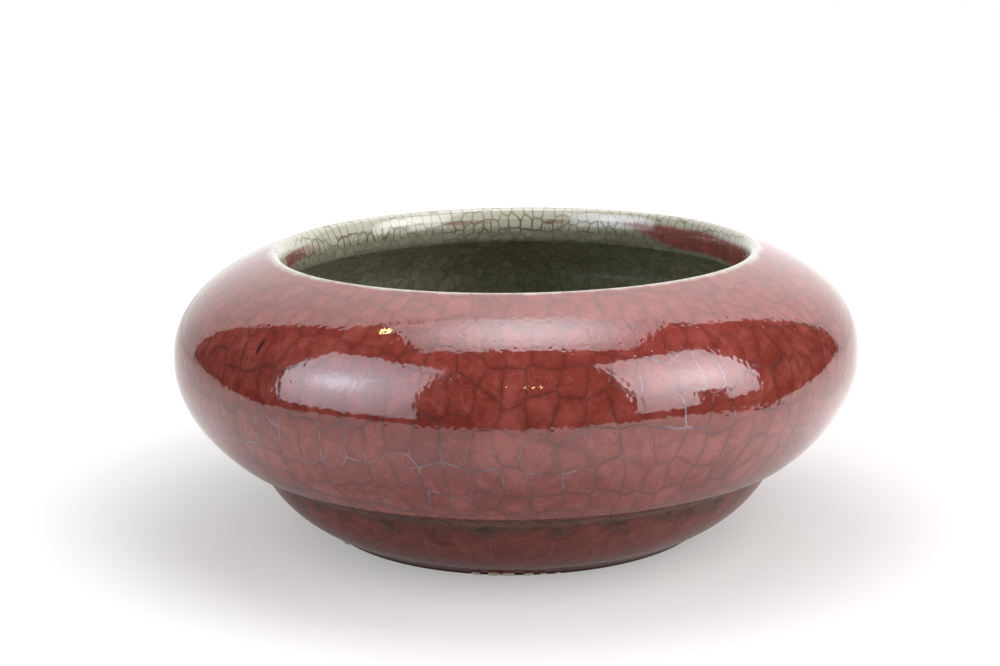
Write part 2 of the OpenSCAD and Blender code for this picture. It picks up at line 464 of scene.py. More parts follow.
def copper_red(lip_end):
    """Copper-red crackle glaze that thins to cream at the lip, where the run along its coat is lip_end."""
    look = Look("copper_red_crackle")
    main, finest, tone = wall_cracks(look, 4.3 * MM, 5.8 * MM, 60 * MM, 3.0, look.around)
    broad = look.noise(38.0, 3.0, 0.55, offset=9.0)
    patchy = look.noise(150.0, 3.0, 0.6, offset=5.0)
    fine = look.noise(900.0, 2.0, 0.6, offset=1.0)
    mottle = look.noise(3200.0, 2.0, 0.6, offset=33.0)
    blotch = look.noise(420.0, 3.0, 0.6, offset=37.0)
    colour = look.mix(look.step(broad, 0.3, 0.7), RED_DEEP, RED_FULL)
    colour = look.mix(look.step(patchy, 0.42, 0.72), colour, RED_PATCH)
    colour = look.mix(look.step(look.z, 41 * MM, 50 * MM, 0.0, 0.4), colour, RED_SHOULDER)
    colour = look.mix(look.step(blotch, 0.50, 0.68, 0.0, 0.5), colour, RED_BLOTCH_PALE)
    colour = look.mix(look.step(blotch, 0.30, 0.48, 0.46, 0.0), colour, RED_BLOTCH_DARK)
    colour = look.mix(look.step(mottle, 0.48, 0.70, 0.0, 0.26), colour, RED_MOTTLE_PALE)
    colour = look.mix(look.step(mottle, 0.30, 0.48, 0.23, 0.0), colour, RED_MOTTLE_DARK)
    colour = look.mix(look.times(look.step(tone[2], 0.55, 1.0), 0.3), colour, RED_DARK_CELL)
    colour = look.mix(look.times(look.step(fine, 0.5, 0.8), 0.25), colour, RED_GRAIN)

    width = look.step(look.noise(260.0, 2.0, offset=11.0), 0.3, 0.75, 0.0, 0.06 * MM)
    lines = look.line(main, width, 0.17 * MM)
    some = look.step(tone[2], 0.45, 0.55, 0.6, 0.0)
    lines = look.most(lines, look.times(look.line(finest, 0.0, 0.12 * MM), some))
    lines = look.times(lines, look.step(look.noise(120.0, 2.0, offset=17.0), 0.3, 0.65, 0.22, 0.72))
    lines = look.times(lines, look.step(look.z, 42 * MM, 48 * MM, 1.0, 0.5))
    halo = look.times(look.line(main, 0.0, 1.0 * MM), 0.3)
    colour = look.mix(halo, colour, RED_HALO)
    # Painted highlight: cracks turn pale lilac in the zones where the lamps reflect
    pale = 0.0
    for angle, half_angle, height, half_height, share in LIT_CRACK_ZONES:
        pale = look.most(pale, look.times(zone(look, angle, half_angle, height, half_height), share))
    broken = look.step(look.noise(190.0, 2.0, offset=19.0), 0.46, 0.60)
    pale = look.times(pale, broken)
    colour = look.mix(lines, colour, look.mix(pale, RED_CRACK, LIT_CRACK_LILAC))
    colour = look.mix(look.times(zone(look, *FLECK), 0.8), colour, FLECK_BLACK)
    pinholes = look.cells(look.place, 1.0 / (4.5 * MM), "F1")
    chosen = look.step(look.parts(pinholes["Color"])[0], 0.60, 0.62)
    pinhole = look.times(look.step(pinholes["Distance"], 0.02, 0.05, 0.8, 0.0), chosen)
    colour = look.mix(pinhole, colour, PINHOLE_BLACK)

    lip_sway = look.plus(look.swing(blotch, 0.5 * MM), look.swing(patchy, 0.8 * MM))
    to_lip = look.plus(look.minus(look.along, lip_end), lip_sway)
    sideways = look.step(look.math("ABSOLUTE", look.x), 15 * MM, 45 * MM, 1.0, 0.6)
    thin = look.step(look.times(to_lip, sideways), -1.1 * MM, 0.12 * MM)
    lip_lines = look.line(collar_cracks(look)[0], 0.02 * MM, 0.14 * MM)
    cream = look.mix(look.times(lip_lines, 0.5), CREAM, CREAM_CRACK)
    colour = look.mix(thin, colour, cream)

    grain = look.noise(1100.0, 0.0, 0.5, offset=23.0)
    dimples = look.cells(look.place, 700.0, "F1")
    pits = look.step(dimples["Distance"], 0.05, 0.30, -0.7, 0.0)
    pits = look.times(pits, look.step(look.parts(dimples["Color"])[1], 0.60, 0.65))
    height = look.plus(look.plus(grain, pits), look.times(lines, -0.12))
    normal = look.bump(height, 0.020 * MM)
    swell = look.bump(look.noise(60.0, 2.0, 0.5, offset=29.0), 0.06 * MM, normal)
    roughness = look.plus(look.step(grain, 0.2, 0.8, 0.04, 0.08), look.times(lines, 0.15))
    return look.surface(colour, roughness, swell, IOR=1.52)


def collar_cracks(look):
    """Cracks of the lip and of the mouth's inner face, in cells that are tall above and low beneath."""
    from_back = look.math("ARCTAN2", look.x, look.y)
    return wall_cracks(look, 2.1 * MM, 4.2 * MM, MOUTH_R, 7.0, from_back, lip_run[0], 0.07 / MM)


# Colours of the celadon: pale where it is thin round the mouth; darker in the well, partly where it pooled
# and partly as painted shade under the lip; pooled under the base; its random darker tone, stains, pale cells
# and cracks; and those of the red splashes on it
CELADON_PALE = (0.65, 0.64, 0.525)
CELADON_WELL_SHADED = (0.262, 0.258, 0.192)
CELADON_BASE = (0.42, 0.41, 0.31)
CELADON_SHADE = (0.55, 0.55, 0.47)
CELADON_STAIN = (0.30, 0.28, 0.19)
CELADON_CELL = (0.38, 0.38, 0.29)
OLIVE_CRACK = (0.155, 0.130, 0.074)
DEEP_CRACK = (0.075, 0.066, 0.040)
SPLASH_PALE = (0.375, 0.098, 0.082)
SPLASH_DARK = (0.255, 0.066, 0.056)
SPLASH_CRACK = (0.06, 0.028, 0.022)


def wall_or_net(look, net_from):
    """How far the celadon shows a crack: in tall cells round the mouth, and in a net from the run net_from
    on. Also three random shares for each cell of the net."""
    upright, finest, tone = collar_cracks(look)
    main, inner, net_tone = net_cracks(look, 2.8 * MM, 7.0)
    width = look.step(look.noise(400.0, 2.0, offset=11.0), 0.3, 0.75, 0.02 * MM, 0.09 * MM)
    wall = look.line(upright, width, 0.26 * MM)
    some = look.step(tone[2], 0.5, 0.6, 0.7, 0.0)
    wall = look.most(wall, look.times(look.line(finest, 0.02 * MM, 0.10 * MM), some))
    net = look.most(look.line(main, width, 0.34 * MM), look.times(look.line(inner, width, 0.12 * MM), 0.2))
    deep = look.step(look.along, net_from - 0.3 * MM, net_from + 0.3 * MM)
    lines = look.plus(look.times(wall, look.minus(1.0, deep)), look.times(net, deep))
    lines = look.times(lines, look.step(look.noise(160.0, offset=17.0), 0.3, 0.65, 0.55, 0.95))
    return lines, net_tone


def celadon(name, pale, deep, thin_until, deep_from, splashes=()):
    """Celadon glaze, pale where it is thin and deeper where it pooled, with olive cracks and red splashes. In
    the well its deeper colour is also painted shade under the lip.
    """
    look = Look(name)
    lines, tone = wall_or_net(look, deep_from)
    broad = look.noise(70.0, 3.0, 0.55, offset=2.0)
    blotch = look.noise(260.0, 3.0, 0.55, offset=6.0)
    # Deeper along the coat: pooled glaze, and in the well also painted shade under the lip
    depth = look.step(look.plus(look.along, look.swing(blotch, 1.0 * MM)), thin_until, deep_from)
    colour = look.mix(depth, pale, deep)
    colour = look.mix(look.step(broad, 0.35, 0.7, 0.0, 0.3), colour, CELADON_SHADE, "MULTIPLY")
    colour = look.mix(look.times(tone[0], 0.15), colour, CELADON_STAIN)
    pale_cells = look.times(depth, look.step(tone[1], 0.3, 0.95, 0.0, 0.45))
    colour = look.mix(pale_cells, colour, CELADON_CELL)
    crack_colour = look.mix(depth, OLIVE_CRACK, DEEP_CRACK)
    crack_share = look.times(lines, look.step(depth, 0.9, 1.0, 1.0, 0.55))
    colour = look.mix(crack_share, colour, crack_colour)
    if splashes:
        colour = splashed(look, colour, lines, blotch, splashes)
    grain = look.noise(1000.0, 3.0, 0.5, offset=23.0)
    height = look.plus(look.times(grain, 0.6), look.times(lines, -0.3))
    normal = look.bump(height, 0.010 * MM)
    roughness = look.plus(look.step(grain, 0.2, 0.8, 0.06, 0.12), look.times(lines, 0.2))
    return look.surface(colour, roughness, normal, IOR=1.5)


def splashed(look, colour, lines, blotch, splashes):
    """The colour with red glaze over it, which runs out in streaks at the edges of each splash."""
    angle = look.math("ARCTAN2", look.y, look.x)
    streak_at = look.point(look.times(angle, 60.0), look.times(look.z, 260.0))
    streaks = look.swing(look.noise(1.0, 3.0, 0.6, at=streak_at, offset=31.0), 1.0)
    share = 0.0
    for splash in splashes:
        a = look.times(look.minus(angle, splash["middle"]), 1.0 / splash["half_span"])
        b = look.times(look.minus(look.z, splash["height"]), 1.0 / splash["half_height"])
        slanted = look.plus(a, look.times(look.minus(1.0, b), splash["slant"] / 2))
        ragged = look.times(streaks, 0.12)
        far_end = look.step(look.plus(slanted, ragged), splash["end"] - 0.2, splash["end"] + 0.06, 1.0, 0.0)
        near_end = look.step(look.plus(a, ragged), -1.20, -0.92)
        upper = look.step(look.plus(b, look.times(streaks, 0.5)), 0.9, 1.7, 1.0, 0.0)
        lower = look.step(look.plus(b, look.times(streaks, 0.4)), -1.5, -1.0)
        patch = look.times(look.times(far_end, near_end), look.times(upper, lower))
        faded = look.times(look.step(a, -1.0, 0.8, splash["fade"], 1.0), splash["strength"])
        share = look.most(share, look.times(patch, faded))
    red = look.mix(look.step(blotch, 0.35, 0.65), SPLASH_PALE, SPLASH_DARK)
    red = look.mix(look.times(lines, 0.55), red, SPLASH_CRACK)
    return look.mix(share, colour, red)


# Colours of the lip's cream glaze and its cracks
LIP_PALE = (0.70, 0.67, 0.58)
LIP_DEEP = (0.60, 0.58, 0.48)
LIP_CRACK = (0.29, 0.25, 0.15)


def lip_glaze(splashes):
    """Cream glaze, thin over the lip, crossed by olive cracks and stained red where splashes ran over it."""
    look = Look("cream_lip_glaze")
    main = collar_cracks(look)[0]
    broad = look.noise(90.0, 3.0, 0.55, offset=2.0)
    blotch = look.noise(260.0, 3.0, 0.55, offset=6.0)
    colour = look.mix(look.step(broad, 0.3, 0.7), LIP_PALE, LIP_DEEP)
    colour = look.mix(look.step(look.along, lip_run[0] + 0.5 * MM, lip_run[-1]), colour, CELADON_PALE)
    lines = look.line(main, 0.04 * MM, 0.22 * MM)
    lines = look.times(lines, look.step(broad, 0.35, 0.6, 0.4, 0.8))
    colour = look.mix(lines, colour, LIP_CRACK)
    colour = splashed(look, colour, lines, blotch, splashes)
    grain = look.noise(800.0, 2.0, 0.5, offset=23.0)
    normal = look.bump(look.minus(look.times(grain, 0.4), look.times(lines, 0.4)), 0.012 * MM)
    return look.surface(colour, look.step(grain, 0.2, 0.8, 0.07, 0.14), normal, IOR=1.5)


# Colours of the foot's glaze, its stains, runs and cracks, of the painted shadow in the line where it meets
# the table, and of the glaze in the groove
FOOT_DEEP = (0.192, 0.054, 0.045)
FOOT_PALE = (0.248, 0.077, 0.065)
FOOT_BROWN = (0.145, 0.062, 0.053)
STAIN_DARK = (0.058, 0.038, 0.029)
STAIN_BROWN = (0.145, 0.068, 0.054)
STAIN_EDGE = (0.020, 0.014, 0.012)
LILAC_RUN = (0.26, 0.18, 0.23)
FOOT_CRACK = (0.030, 0.014, 0.011)
CONTACT_SHADOW = (0.020, 0.012, 0.010)
GROOVE_RED = (0.190, 0.072, 0.058)


def stain(look):
    """Dark and grey-brown wisps of glaze that run round the foot; also the noise that they follow."""
    wisps_at = look.point(look.times(look.around, 16.0), look.times(look.z, 520.0))
    wisps = look.noise(1.0, 4.0, 0.65, at=wisps_at, offset=40.0)
    return look.mix(look.step(wisps, 0.36, 0.60), STAIN_DARK, STAIN_BROWN), wisps


def foot_glaze(top, bottom):
    """Brown-red glaze of the foot, stained dark under the groove, with lilac runs low down."""
    look = Look("brown_red_foot_glaze")
    down = look.step(look.z, top, bottom)
    patchy = look.noise(420.0, 3.0, 0.6, offset=5.0)
    broad = look.noise(80.0, 3.0, 0.6, offset=12.0)
    colour = look.mix(look.step(patchy, 0.35, 0.7), FOOT_DEEP, FOOT_PALE)
    colour = look.mix(look.times(look.step(broad, 0.35, 0.7), 0.4), colour, FOOT_BROWN)

    lobes_at = look.point(look.times(look.around, 9.0), look.times(look.z, 200.0))
    lobes = look.step(look.noise(1.0, 3.0, 0.52, at=lobes_at), 0.3, 0.7, 0.03, 0.46)
    stained = look.step(look.minus(down, lobes), -0.20, 0.08, 1.0, 0.0)
    stain_colour, wisps = stain(look)
    colour = look.mix(look.times(stained, look.step(down, 0.05, 0.35, 1.0, 0.7)), colour, stain_colour)
    edge = look.times(look.step(look.math("ABSOLUTE", look.minus(down, lobes)), 0.0, 0.10, 0.35, 0.0),
                      look.step(wisps, 0.4, 0.6))
    colour = look.mix(edge, colour, STAIN_EDGE)

    runs_at = look.point(look.times(look.around, 45.0), look.times(look.z, 9.0))
    runs = look.step(look.noise(1.0, 1.0, 0.5, at=runs_at, offset=13.0), 0.66, 0.74)
    runs = look.times(runs, look.times(look.step(down, 0.3, 0.45), look.step(down, 0.75, 0.95, 1.0, 0.0)))
    colour = look.mix(look.times(runs, 0.5), colour, LILAC_RUN)
    main = net_cracks(look, 6.0 * MM, 5.0)[0]
    lines = look.times(look.line(main, 0.03 * MM, 0.12 * MM), look.step(patchy, 0.35, 0.6, 0.05, 0.3))
    colour = look.mix(lines, colour, FOOT_CRACK)
    # Painted shadow: the glaze darkens in its lowest 0.7 mm, where the foot meets the table
    colour = look.mix(look.step(look.z, 0.15 * MM, 0.7 * MM, 0.85, 0.0), colour, CONTACT_SHADOW)
    grain = look.noise(900.0, 3.0, 0.6, offset=23.0)
    normal = look.bump(look.plus(grain, look.times(patchy, 1.5)), 0.012 * MM)
    roughness = look.step(grain, 0.2, 0.8, 0.14, 0.26)
    return look.surface(colour, roughness, normal, **{"Specular IOR Level": 0.15})


def groove_glaze():
    """Thick dark glaze pooled in the groove."""
    look = Look("pooled_dark_glaze")
    patchy = look.noise(300.0, 3.0, 0.6, offset=4.0)
    colour = look.mix(look.step(patchy, 0.40, 0.75, 0.1, 0.8), stain(look)[0], GROOVE_RED)
    grain = look.noise(900.0, 3.0, 0.6, offset=8.0)
    normal = look.bump(grain, 0.012 * MM)
    roughness = look.step(grain, 0.2, 0.8, 0.18, 0.32)
    return look.surface(colour, roughness, normal, **{"Specular IOR Level": 0.13})


# Colours of bare clay's side: a painted shadow in the line where it meets the table, and iron-brown above it
RIM_SHADOW = (0.035, 0.018, 0.014)
RIM_BROWN = (0.180, 0.058, 0.047)


def stoneware(name, pale, dark, speck, iron_r=None):
    """Bare fired clay with sandy grain and iron specks, stained iron-brown outside iron_r, with a painted
    shadow where that side meets the table.
    """
    look = Look(name)
    broad = look.noise(90.0, 4.0, 0.6)
    grain = look.noise(1800.0, 3.0, 0.7, offset=3.0)
    specks = look.cells(look.place, 620.0, "F1")
    spot = look.step(specks["Distance"], 0.12, 0.22, 1.0, 0.0)
    spot = look.times(spot, look.step(look.parts(specks["Color"])[0], 0.72, 0.78))
    colour = look.mix(look.step(broad, 0.3, 0.7), pale, dark)
    colour = look.mix(look.times(look.step(grain, 0.45, 0.75), 0.5), colour, dark)
    if iron_r:
        radius = look.math("SQRT", look.plus(look.times(look.x, look.x), look.times(look.y, look.y)))
        ragged = look.plus(radius, look.swing(broad, 1.2 * MM))
        # Painted shadow low on the side, where it meets the table
        side = look.mix(look.step(look.z, 0.15 * MM, 0.5 * MM), RIM_SHADOW, RIM_BROWN)
        colour = look.mix(look.step(ragged, iron_r - 0.6 * MM, iron_r), colour, side)
    colour = look.mix(look.times(spot, 0.8), colour, speck)
    normal = look.bump(grain, 0.05 * MM)
    return look.surface(colour, look.step(grain, 0.2, 0.8, 0.7, 0.95), normal, IOR=1.45)


# The lip's top, and the height on the mouth's inner face where its roll begins
LIP_TOP_R, LIP_TOP = max(section("pale_lip_glaze"), key=lambda point: point[1])
MOUTH_R = section("pale_lip_glaze")[:, 0].min()
ROLL_LOW = LIP_TOP - 5.0 * MM
ROLL_FULLNESS = 2.2
ROLLED_COATS = ("lip_coat", "inner_coat")

# Coats of glaze; the foot's runs down over the bare rim's side nearly to the table
ring_line = section("clay_foot_ring")
rim_r = ring_line[ring_line[:, 1] < 0.01 * MM, 0].max()
body, body_run = coat("body_coat", "red_body_glaze", "clay_bowl")
lip, lip_run = coat("lip_coat", "pale_lip_glaze", "clay_bowl", start=body_run[-1], downward=True)
inner, inner_run = coat("inner_coat", "celadon_inner_glaze", "clay_bowl", start=lip_run[-1], downward=True,
                        turn=CLEAR_TURN, slack=0.45 * MM)
foot = coat("foot_coat", "red_foot_glaze", "clay_foot_ring", downward=True, slack=0.01 * MM,
            skirt=[(rim_r + 0.35 * MM, 0.55 * MM), (rim_r + 0.08 * MM, 0.1 * MM)])[0]
base = coat("base_coat", "celadon_base_glaze", "clay_bowl", "clay_foot_ring")[0]
pool_line = section("dark_groove_glaze")
pool = lathe("groove_pool", pool_line, run_length(pool_line), True)
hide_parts("dark_groove_glaze")


def islands(node):
    """Points of each separate solid of a node, as arrays."""
    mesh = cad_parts[node].data
    points = np.array([v.co[:] for v in mesh.vertices])
    places, merged = np.unique(np.round(points, 6), axis=0, return_inverse=True)
    merged = merged.reshape(-1)
    group = np.arange(len(places))

    def root_of(i):
        while group[i] != i:
            group[i] = group[group[i]]
            i = group[i]
        return i

    for edge in mesh.edges:
        a, b = root_of(merged[edge.vertices[0]]), root_of(merged[edge.vertices[1]])
        group[a] = b
    roots = np.array([root_of(i) for i in range(len(places))])
    return [places[roots == r] for r in np.unique(roots)]


# Red splashes on the mouth's inner face: the widest one ends in a slant, and the slight ones are faint
WIDE_SPLASH, SLIGHT_SPLASH = math.radians(40), math.radians(15)
splashes = []
for points in islands("red_mouth_splashes"):
    angles = np.arctan2(points[:, 1], points[:, 0])
    heights = points[:, 2]
    span = angles.max() - angles.min()
    splashes.append({"middle": (angles.max() + angles.min()) / 2, "half_span": span / 2,
                     "height": (heights.max() + heights.min()) / 2,
                     "half_height": (heights.max() - heights.min()) / 2,
                     "slant": 0.58 if span > WIDE_SPLASH else 0.0,
                     "end": 1.38 if span > WIDE_SPLASH else 1.4,
                     "fade": 1.0 if span > WIDE_SPLASH else 0.25,
                     "strength": 0.5 if span < SLIGHT_SPLASH else 0.95})
mouth_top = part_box("celadon_inner_glaze")[1][2]
mouth_run = inner_run[0]
# How far the patches of red glaze stand proud and reach in, how round their ends are, and their least height
SPLASH_PROUD, SPLASH_SUNK = 0.03 * MM, 0.2 * MM
SPLASH_ROUNDNESS, SPLASH_LEAST = 4, 0.02


def splash_piece():
    """Thin patches of red glaze with rounded ends, barely proud of the mouth's inner face."""
    columns, rows = 40, 8
    points = []
    faces = []
    for splash in splashes:
        first = len(points)
        for sunk in (-SPLASH_PROUD, SPLASH_SUNK):
            for i in range(columns + 1):
                a = -1 + 2 * i / columns
                rounded = max(0.0, 1 - a ** SPLASH_ROUNDNESS) ** (1 / SPLASH_ROUNDNESS)
                tall = min(1.0, rounded + SPLASH_LEAST)
                for j in range(rows + 1):
                    b = -1 + 2 * j / rows
                    z = splash["height"] + splash["half_height"] * tall * b
                    turn = splash["middle"] + splash["half_span"] * a
                    r = (rolled_r(z) + sunk) * out_of_round(turn + math.pi / 2, z)
                    points.append((r * math.cos(turn), r * math.sin(turn), z))
        layer = (columns + 1) * (rows + 1)

        def at(k, i, j):
            return first + k * layer + i * (rows + 1) + j

        for i in range(columns):
            for j in range(rows):
                faces.append((at(0, i, j), at(0, i + 1, j), at(0, i + 1, j + 1), at(0, i, j + 1)))
                faces.append((at(1, i, j), at(1, i, j + 1), at(1, i + 1, j + 1), at(1, i + 1, j)))
            for j in (0, rows):
                faces.append((at(0, i, j), at(0, i + 1, j), at(1, i + 1, j), at(1, i, j)))
        for i in (0, columns):
            for j in range(rows):
                faces.append((at(0, i, j), at(0, i, j + 1), at(1, i, j + 1), at(1, i, j)))
    runs = [mouth_run + mouth_top - p[2] for p in points]
    return finished_mesh("mouth_splashes", points, faces, runs)


# Power that makes a round crumb squarer the further it is under 1
CRUMB_SQUARENESS = 0.6


def grit_piece():
    """Rough crumbs of kiln grit, one where each grain of the node is."""
    shape = bmesh.new()
    for points in islands("kiln_grit"):
        low, high = points.min(axis=0), points.max(axis=0)
        middle = Vector((low + high) / 2)
        turn = math.atan2(middle.y, middle.x)
        ahead, aside = math.cos(turn), math.sin(turn)
        flat = points @ np.array([[ahead, -aside, 0], [aside, ahead, 0], [0, 0, 1]])
        half = (flat.max(axis=0) - flat.min(axis=0)) / 2
        centre = (flat.max(axis=0) + flat.min(axis=0)) / 2
        crumb = bmesh.ops.create_icosphere(shape, subdivisions=3, radius=1.0)["verts"]
        for v in crumb:
            way = v.co.normalized()
            lumps = 0.3 * noise.noise(way * 1.7 + middle * 900)
            grains = 0.12 * noise.noise(way * 5 + middle * 700)
            reach = min(0.86 + lumps + grains, 1.05)
            squared = Vector([math.copysign(abs(c) ** CRUMB_SQUARENESS, c) for c in way]) * reach
            local = centre + np.array(squared) * half
            v.co = (local[0] * ahead - local[1] * aside, local[0] * aside + local[1] * ahead,
                    max(local[2], low[2]))
    mesh = bpy.data.meshes.new("grit_crumbs")
    shape.to_mesh(mesh)
    shape.free()
    return placed(mesh, GRIT_SHARP_FROM)


patches = splash_piece()
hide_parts("red_mouth_splashes")
grit = grit_piece()
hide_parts("kiln_grit")


def mouth_celadon(name):
    """Celadon glaze of the well, pale round the mouth, darker down the well by pooled glaze and by painted
    shade under the lip, with the red splashes.
    """
    return celadon(name, CELADON_PALE, CELADON_WELL_SHADED, mouth_run + 0.7 * MM, mouth_run + 2.9 * MM, splashes)


foot_low, foot_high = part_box("red_foot_glaze")
base_glaze = celadon("celadon_base_crackle", CELADON_PALE, CELADON_BASE, -10 * MM, 5.0 * MM)
crumbs = stoneware("kiln_grit_grains", pale=(0.97, 0.92, 0.80), dark=(0.86, 0.78, 0.62),
                   speck=(0.14, 0.09, 0.06))
finishes = [
    (body, "copper_red_glaze", copper_red(body_run[-1])),
    (lip, "pale_lip_glaze", lip_glaze(splashes)),
    (inner, "celadon_glaze", mouth_celadon("celadon_crackle")),
    (patches, "copper_red_glaze", mouth_celadon("red_splash_glaze")),
    (foot, "foot_glaze", foot_glaze(foot_high[2], foot_low[2])),
    (base, "celadon_glaze", base_glaze),
    (pool, "dark_groove_glaze", groove_glaze()),
    (grit, "kiln_grit", crumbs),
]
for piece, slot, material in finishes:
    piece.data.materials.append(material)
    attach(piece, "root")
clay = stoneware("bare_stoneware", pale=(0.50, 0.41, 0.31), dark=(0.36, 0.27, 0.19), speck=(0.09, 0.05, 0.03),
                 iron_r=rim_r - 0.8 * MM)
for node in ("clay_bowl", "clay_foot_ring"):
    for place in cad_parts[node].material_slots:
        place.material = clay

# Studio: a white sheet and backdrop, and lamps whose reflections the glaze shows
SHEET_LEFT, SHEET_RIGHT, SHEET_FRONT, SHEET_BACK = -0.25, 0.19, -0.228, 0.70
SHEET_FLARE = 1.3
SHEET_WHITE = (0.86, 0.85, 0.85)
SHEET_SEEN = (0.57, 0.56, 0.56)
# Painted shadow on the sheet near the pot, as the glaze reflects it
SHEET_SHADOW_NEAR_POT = (0.40, 0.39, 0.39)
BEYOND_SHEET = (0.012, 0.011, 0.010)
BACKDROP_HALF, BACKDROP_TOP = 0.90, 1.70
FLOOR_REACH = 3.0


def panel(name, corners, material):
    """A flat face that belongs to the studio."""
    mesh = bpy.data.meshes.new(name)
    mesh.from_pydata(corners, [], [range(len(corners))])
    mesh.materials.append(material)
    thing = bpy.data.objects.new(name, mesh)
    bpy.context.scene.collection.objects.link(thing)
    return thing


def floor_material():
    """White sheet that keeps the shadow. The glaze reflects it as far as its edges, brighter to the right.
    Near the pot painted shadow darkens it, both as the camera sees it and as the glaze reflects it.
    """
    look = Look("white_sheet")
    path = look.add("ShaderNodeLightPath")
    camera, glossy = path.outputs["Is Camera Ray"], path.outputs["Is Glossy Ray"]
    behind = look.times(look.most(look.plus(look.y, 0.05), 0.0), SHEET_FLARE)
    from_left = look.minus(look.plus(look.x, behind), SHEET_LEFT)
    from_right = look.minus(look.plus(SHEET_RIGHT, behind), look.x)
    inside = look.times(look.step(from_left, 0.0, 0.01), look.step(from_right, 0.0, 0.01))
    inside = look.times(inside, look.step(look.y, SHEET_FRONT - 0.006, SHEET_FRONT))
    reach = look.math("SQRT", look.plus(look.times(look.x, look.x), look.times(look.y, look.y)))
    # Painted shadow: the sheet as the glaze reflects it is darker near the pot
    colour = look.mix(look.step(reach, 0.04, 0.12), SHEET_SHADOW_NEAR_POT, SHEET_WHITE)
    colour = look.mix(look.times(glossy, look.minus(1.0, inside)), colour, BEYOND_SHEET)
    colour = look.mix(look.most(glossy, camera), SHEET_WHITE, colour)
    colour = look.mix(camera, colour, SHEET_SEEN)
    away = look.step(reach, 0.11, 0.32, 0.0, 0.25)
    # Painted shadow: the glow the camera sees is weaker near the pot
    near_shadow = look.plus(look.step(reach, 0.03, 0.06, 0.32, 0.43), look.step(reach, 0.06, 0.11, 0.0, 0.23))
    to_camera = look.times(camera, look.plus(away, near_shadow))
    frontward = look.step(look.y, -0.02, 0.10, 1.0, 0.55)
    # Painted shadow: the glow the glaze sees is also weaker near the pot
    in_front = look.times(frontward, look.step(reach, 0.045, 0.095, 0.22, 1.05))
    rightward = look.step(look.x, -0.10, 0.14, 0.75, 1.4)
    to_glaze = look.times(look.times(glossy, inside), look.times(in_front, rightward))
    sockets = {"Base Color": colour, "Roughness": 0.9, "Specular IOR Level": 0.0,
               "Emission Color": (1.0, 1.0, 1.0), "Emission Strength": look.plus(to_camera, to_glaze)}
    return look.finish(look.add("ShaderNodeBsdfPrincipled", sockets))


def backdrop_material():
    """White to the camera, and to the glaze a field that brightens upwards and to the right."""
    look = Look("white_backdrop")
    glossy = look.add("ShaderNodeLightPath").outputs["Is Glossy Ray"]
    rightward = look.times(look.step(look.x, -BACKDROP_HALF, BACKDROP_HALF, 0.72, 1.03),
                           look.step(look.math("ABSOLUTE", look.x), 0.1, 0.8, 1.1, 0.85))
    field = look.times(look.plus(1.0, look.step(look.z, 0.0, BACKDROP_TOP, 0.5, 2.5)), rightward)
    strength = look.plus(look.minus(1.0, glossy), look.times(glossy, field))
    return look.finish(look.add("ShaderNodeEmission", {"Color": (1.0, 1.0, 1.0), "Strength": strength}))


panel("floor", [(-FLOOR_REACH, -FLOOR_REACH, 0), (FLOOR_REACH, -FLOOR_REACH, 0),
                (FLOOR_REACH, FLOOR_REACH, 0), (-FLOOR_REACH, FLOOR_REACH, 0)], floor_material())
backdrop = panel("backdrop", [(-BACKDROP_HALF, SHEET_BACK, 0), (BACKDROP_HALF, SHEET_BACK, 0),
                              (BACKDROP_HALF, SHEET_BACK, BACKDROP_TOP),
                              (-BACKDROP_HALF, SHEET_BACK, BACKDROP_TOP)], backdrop_material())
backdrop.visible_diffuse = False
backdrop.visible_shadow = False


# Length of a cross product under which a direction counts as upright
UPRIGHT = 1e-4
# Power of a lamp for each unit of its radiance and area
LAMP_POWER = 4
# Radius of the bright core of a lamp's face
LAMP_CORE_R = 0.26


def facing(place, aim):
    """Directions across, up and onward of someone at place who looks at aim."""
    onward = (Vector(aim) - Vector(place)).normalized()
    across = onward.cross(Vector((0, 0, 1)))
    across = across.normalized() if across.length > UPRIGHT else Vector((1, 0, 0))
    return across, across.cross(onward), onward


def bright_face(name, place, aim, outline, radiance, colour, reach, edge, core=0.0):
    """A lamp's face as the glaze reflects it: an outline across its aim, brightest in the middle, where a
    core adds its share."""
    across, upward = facing(place, aim)[:2]
    look = Look(name)
    away = look.add("ShaderNodeVectorMath", {0: look.place, 1: place}, operation="DISTANCE").outputs["Value"]
    core_share = look.step(away, 0.0, LAMP_CORE_R, 1.0 + core, 1.0)
    strength = look.times(look.times(look.step(away, 0.0, reach, 1.0, edge), core_share), radiance)
    glow = look.finish(look.add("ShaderNodeEmission", {"Color": colour, "Strength": strength}))
    glow.cycles.emission_sampling = "NONE"
    face = panel(name, [Vector(place) + across * a + upward * b for a, b in outline], glow)
    face.visible_camera = False
    face.visible_diffuse = False
    face.visible_shadow = False


def matt_lamp(name, place, aim, wide, tall, radiance, colour):
    """A rectangular lamp that lights the object but shows in no reflection."""
    light = bpy.data.lights.new(name, "AREA")
    light.shape = "RECTANGLE"
    light.size, light.size_y = wide, tall
    light.energy = radiance * LAMP_POWER * wide * tall
    light.color = colour
    across, upward, onward = facing(place, aim)
    thing = bpy.data.objects.new(name, light)
    thing.matrix_world = Matrix.Translation(place) @ Matrix((across, upward, -onward)).transposed().to_4x4()
    thing.visible_camera = False
    thing.visible_glossy = False
    bpy.context.scene.collection.objects.link(thing)


